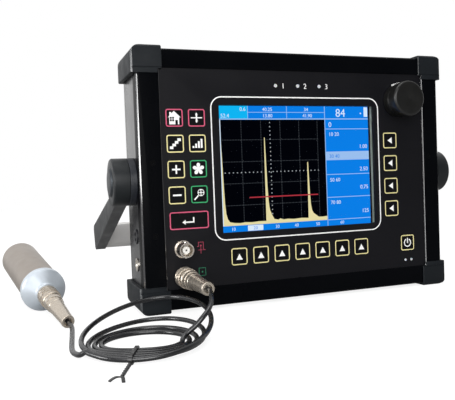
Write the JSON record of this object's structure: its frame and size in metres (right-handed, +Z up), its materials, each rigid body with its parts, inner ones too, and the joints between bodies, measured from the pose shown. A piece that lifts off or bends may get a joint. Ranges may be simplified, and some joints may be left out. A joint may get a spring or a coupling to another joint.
{
  "type": "ultrasonic flaw detector",
  "caption": "Portable ultrasonic flaw detector with screen, keypad, knob, swing handle and corner guards, with a probe on a coiled lead.",
  "frame": {"origin": "on the surface that the unit stands on, under the middle of its case: half its width, half its depth", "axes": "+X to the right as the operator sees the front, +Y from the front to the back, +Z up"},
  "size_m": [0.3368, 0.2643, 0.175],
  "materials": {
    "case_black": "black powder coat on aluminium",
    "frame_gloss_black": "glossy black paint on aluminium",
    "seal_rubber": "moulded silicone",
    "panel_print": "printed polyester film on a plate",
    "window_clear": "clear acrylic",
    "screen_lit": "lit colour display",
    "circuit_board": "green solder mask",
    "battery_wrap": "shrink wrap",
    "cover_plastic": "fine moulded texture",
    "guard_rubber": "moulded rubber",
    "screw_black": "blackened steel",
    "screw_steel": "plain steel",
    "led_lens": "clear lens",
    "knob_plastic": "soft black knob",
    "encoder_metal": "plated steel",
    "jack_nickel": "nickel plate on brass",
    "insulator_white": "white fluoropolymer",
    "port_black": "black moulding",
    "port_nickel": "nickel plate on brass",
    "hub_plastic": "black moulding",
    "handle_plastic": "glass filled nylon",
    "grip_aluminium": "satin anodised",
    "cap_metal": "turned and anodised",
    "lead_rubber": "black cable jacket",
    "tie_plastic": "black plastic over wire",
    "probe_satin": "satin nickel plate",
    "probe_wear": "ceramic filled resin",
    "key_silicone": "matt key cap"
  },
  "bodies": {
    "unit": {"rear_case": "case_black", "front_bezel": "frame_gloss_black", "case_seal": "seal_rubber", "keypad_panel": "panel_print", "display_window": "window_clear", "lcd_module": "screen_lit", "keypad_board": "circuit_board", "main_board": "circuit_board", "battery_pack": "battery_wrap", "battery_cover": "cover_plastic", "corner_guard_top_left": "guard_rubber", "corner_guard_top_right": "guard_rubber", "corner_guard_bottom_left": "guard_rubber", "corner_guard_bottom_right": "guard_rubber", "frame_screws": "screw_black", "back_screws": "screw_steel", "indicator_leds": "led_lens", "rotary_encoder": "encoder_metal", "panel_jacks": "jack_nickel", "jack_insulators": "insulator_white", "data_port": "port_black", "charge_port": "port_nickel", "hub_plates": "hub_plastic", "pivot_bolts": "screw_steel", "lead_plug": "jack_nickel", "lead_drop": "lead_rubber", "lead_coil": "lead_rubber", "lead_tail": "lead_rubber", "twist_tie": "tie_plastic", "probe_plug": "jack_nickel", "probe_body": "probe_satin", "probe_jack": "jack_nickel", "probe_face": "probe_wear"},
    "handle": {"handle_arms": "handle_plastic", "handle_grip": "grip_aluminium", "hub_caps": "cap_metal"},
    "knob": {"rotary_knob": "knob_plastic"},
    "lead_sleeve": {"lead_plug_sleeve": "jack_nickel"},
    "probe_sleeve": {"probe_plug_sleeve": "jack_nickel"},
    "key_home": {"key_home": "key_silicone"},
    "key_cursor": {"key_cursor": "key_silicone"},
    "key_steps": {"key_steps": "key_silicone"},
    "key_gain": {"key_gain": "key_silicone"},
    "key_plus": {"key_plus": "key_silicone"},
    "key_freeze": {"key_freeze": "key_silicone"},
    "key_minus": {"key_minus": "key_silicone"},
    "key_zoom": {"key_zoom": "key_silicone"},
    "key_enter": {"key_enter": "key_silicone"},
    "key_menu_1": {"key_menu_1": "key_silicone"},
    "key_menu_2": {"key_menu_2": "key_silicone"},
    "key_menu_3": {"key_menu_3": "key_silicone"},
    "key_menu_4": {"key_menu_4": "key_silicone"},
    "key_soft_1": {"key_soft_1": "key_silicone"},
    "key_soft_2": {"key_soft_2": "key_silicone"},
    "key_soft_3": {"key_soft_3": "key_silicone"},
    "key_soft_4": {"key_soft_4": "key_silicone"},
    "key_soft_5": {"key_soft_5": "key_silicone"},
    "key_soft_6": {"key_soft_6": "key_silicone"},
    "key_soft_7": {"key_soft_7": "key_silicone"},
    "key_power": {"key_power": "key_silicone"}
  },
  "joints": [
    {"name": "handle_swing", "type": "hinge", "parent": "unit", "child": "handle", "pos_m": [0, 0, 0.0873], "axis": [1, 0, 0], "range_deg": [-15, 180]},
    {"name": "knob_turn", "type": "hinge", "parent": "unit", "child": "knob", "pos_m": [0.0807, -0.03, 0.1406], "axis": [0, 1, 0], "continuous": true},
    {"name": "lead_sleeve_turn", "type": "hinge", "parent": "unit", "child": "lead_sleeve", "pos_m": [-0.0897, -0.03, 0.0236], "axis": [0, 1, 0], "range_deg": [-90, 0]},
    {"name": "probe_sleeve_turn", "type": "hinge", "parent": "unit", "child": "probe_sleeve", "pos_m": [-0.1762, 0.0281, 0.0148], "axis": [-0.18, 0.9665, 0.1827], "range_deg": [-90, 0]},
    {"name": "key_home_press", "type": "slide", "parent": "unit", "child": "key_home", "axis": [0, 1, 0], "range_m": [0, 0.0005], "stiffness_N_per_m": 2000},
    {"name": "key_cursor_press", "type": "slide", "parent": "unit", "child": "key_cursor", "axis": [0, 1, 0], "range_m": [0, 0.0005], "stiffness_N_per_m": 2000},
    {"name": "key_steps_press", "type": "slide", "parent": "unit", "child": "key_steps", "axis": [0, 1, 0], "range_m": [0, 0.0005], "stiffness_N_per_m": 2000},
    {"name": "key_gain_press", "type": "slide", "parent": "unit", "child": "key_gain", "axis": [0, 1, 0], "range_m": [0, 0.0005], "stiffness_N_per_m": 2000},
    {"name": "key_plus_press", "type": "slide", "parent": "unit", "child": "key_plus", "axis": [0, 1, 0], "range_m": [0, 0.0005], "stiffness_N_per_m": 2000},
    {"name": "key_freeze_press", "type": "slide", "parent": "unit", "child": "key_freeze", "axis": [0, 1, 0], "range_m": [0, 0.0005], "stiffness_N_per_m": 2000},
    {"name": "key_minus_press", "type": "slide", "parent": "unit", "child": "key_minus", "axis": [0, 1, 0], "range_m": [0, 0.0005], "stiffness_N_per_m": 2000},
    {"name": "key_zoom_press", "type": "slide", "parent": "unit", "child": "key_zoom", "axis": [0, 1, 0], "range_m": [0, 0.0005], "stiffness_N_per_m": 2000},
    {"name": "key_enter_press", "type": "slide", "parent": "unit", "child": "key_enter", "axis": [0, 1, 0], "range_m": [0, 0.0005], "stiffness_N_per_m": 2000},
    {"name": "key_menu_1_press", "type": "slide", "parent": "unit", "child": "key_menu_1", "axis": [0, 1, 0], "range_m": [0, 0.0005], "stiffness_N_per_m": 2000},
    {"name": "key_menu_2_press", "type": "slide", "parent": "unit", "child": "key_menu_2", "axis": [0, 1, 0], "range_m": [0, 0.0005], "stiffness_N_per_m": 2000},
    {"name": "key_menu_3_press", "type": "slide", "parent": "unit", "child": "key_menu_3", "axis": [0, 1, 0], "range_m": [0, 0.0005], "stiffness_N_per_m": 2000},
    {"name": "key_menu_4_press", "type": "slide", "parent": "unit", "child": "key_menu_4", "axis": [0, 1, 0], "range_m": [0, 0.0005], "stiffness_N_per_m": 2000},
    {"name": "key_soft_1_press", "type": "slide", "parent": "unit", "child": "key_soft_1", "axis": [0, 1, 0], "range_m": [0, 0.0005], "stiffness_N_per_m": 2000},
    {"name": "key_soft_2_press", "type": "slide", "parent": "unit", "child": "key_soft_2", "axis": [0, 1, 0], "range_m": [0, 0.0005], "stiffness_N_per_m": 2000},
    {"name": "key_soft_3_press", "type": "slide", "parent": "unit", "child": "key_soft_3", "axis": [0, 1, 0], "range_m": [0, 0.0005], "stiffness_N_per_m": 2000},
    {"name": "key_soft_4_press", "type": "slide", "parent": "unit", "child": "key_soft_4", "axis": [0, 1, 0], "range_m": [0, 0.0005], "stiffness_N_per_m": 2000},
    {"name": "key_soft_5_press", "type": "slide", "parent": "unit", "child": "key_soft_5", "axis": [0, 1, 0], "range_m": [0, 0.0005], "stiffness_N_per_m": 2000},
    {"name": "key_soft_6_press", "type": "slide", "parent": "unit", "child": "key_soft_6", "axis": [0, 1, 0], "range_m": [0, 0.0005], "stiffness_N_per_m": 2000},
    {"name": "key_soft_7_press", "type": "slide", "parent": "unit", "child": "key_soft_7", "axis": [0, 1, 0], "range_m": [0, 0.0005], "stiffness_N_per_m": 2000},
    {"name": "key_power_press", "type": "slide", "parent": "unit", "child": "key_power", "axis": [0, 1, 0], "range_m": [0, 0.0005], "stiffness_N_per_m": 2000}
  ]
}
